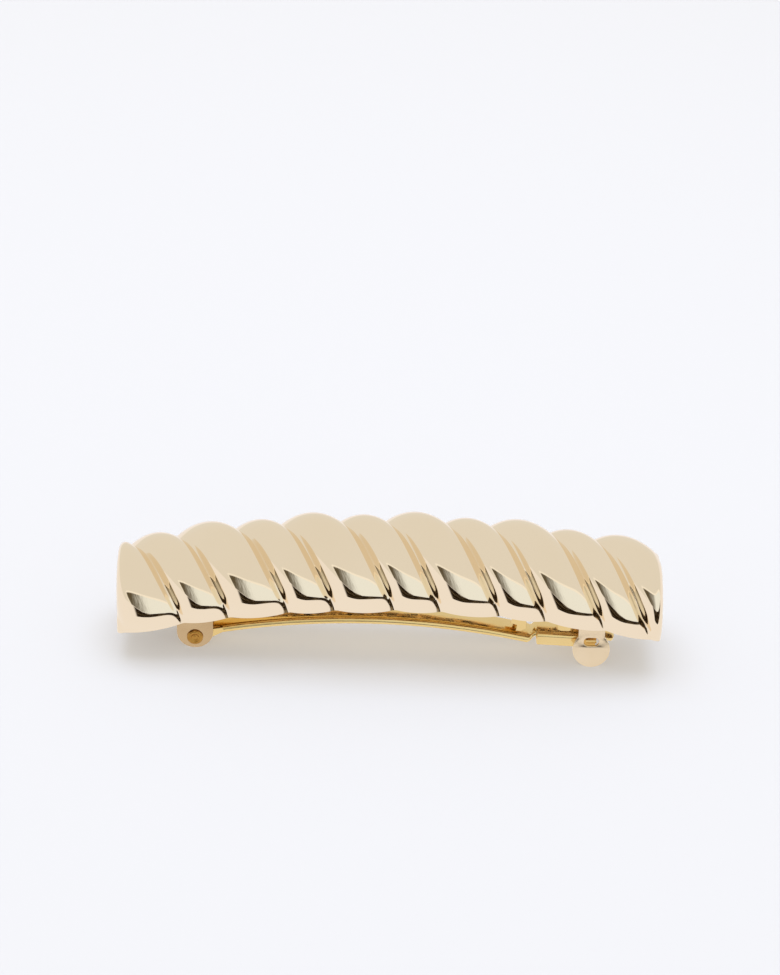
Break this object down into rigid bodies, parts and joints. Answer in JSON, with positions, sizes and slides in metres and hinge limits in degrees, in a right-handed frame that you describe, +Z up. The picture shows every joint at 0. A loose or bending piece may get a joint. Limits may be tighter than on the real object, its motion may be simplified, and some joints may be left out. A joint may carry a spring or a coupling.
{
  "type": "hair barrette",
  "caption": "Ribbed polished gold hair barrette: arched hollow shell over a base strip, with a pinned arched arm that snaps into a two-winged spring catch.",
  "frame": {"origin": "middle of the clip in plan, at the level of its lowest point, the bottoms of the catch's thumb lobes", "axes": "+X along the clip from the hinge towards the catch, +Y across it towards the back, +Z up towards the ornamental face"},
  "size_m": [0.088, 0.0196, 0.0249],
  "materials": {
    "pale_gold_shell": "mirror-polished pale champagne gold plate",
    "gold_strip": "plain gold-plated spring steel strip, semi-bright",
    "gold_pin": "gold-plated soft pin with rolled heads",
    "gold_arm": "bright gold-plated spring steel channel",
    "gold_spring": "bright gold-plated thin spring leaf",
    "pale_gold_catch": "polished pale gold-plated spring steel",
    "solder": "dull silver-tin solder"
  },
  "bodies": {
    "frame": {"top_shell": "pale_gold_shell", "base_strip": "gold_strip", "hinge_pin": "gold_pin", "catch_bridge": "pale_gold_catch", "catch_rivet": "gold_pin", "solder_joint_left": "solder", "solder_joint_right": "solder"},
    "arm": {"clasp_arm": "gold_arm"},
    "spring": {"tension_spring": "gold_spring"},
    "wing_front": {"catch_wing_front": "pale_gold_catch"},
    "wing_rear": {"catch_wing_rear": "pale_gold_catch"}
  },
  "joints": [
    {"name": "arm_hinge", "type": "hinge", "parent": "frame", "child": "arm", "pos_m": [-0.0316, 0, 0.0038], "axis": [0, 1, 0], "range_deg": [0, 100]},
    {"name": "spring_flex", "type": "hinge", "parent": "frame", "child": "spring", "pos_m": [-0.0316, 0, 0.0038], "axis": [0, 1, 0], "range_deg": [-0.8, 0], "stiffness_Nm_per_rad": 0.02, "springref_deg": 5.73},
    {"name": "wing_front_flex", "type": "hinge", "parent": "frame", "child": "wing_front", "pos_m": [0.033, -0.0039, 0.01026], "axis": [1, 0, 0], "range_deg": [-5, 3], "stiffness_Nm_per_rad": 0.05},
    {"name": "wing_rear_flex", "type": "hinge", "parent": "frame", "child": "wing_rear", "pos_m": [0.033, 0.0039, 0.01026], "axis": [1, 0, 0], "range_deg": [-3, 5], "stiffness_Nm_per_rad": 0.05}
  ],
  "couplings": [
    {"joint": "wing_rear_flex", "follows": "wing_front_flex", "ratio": -1}
  ]
}
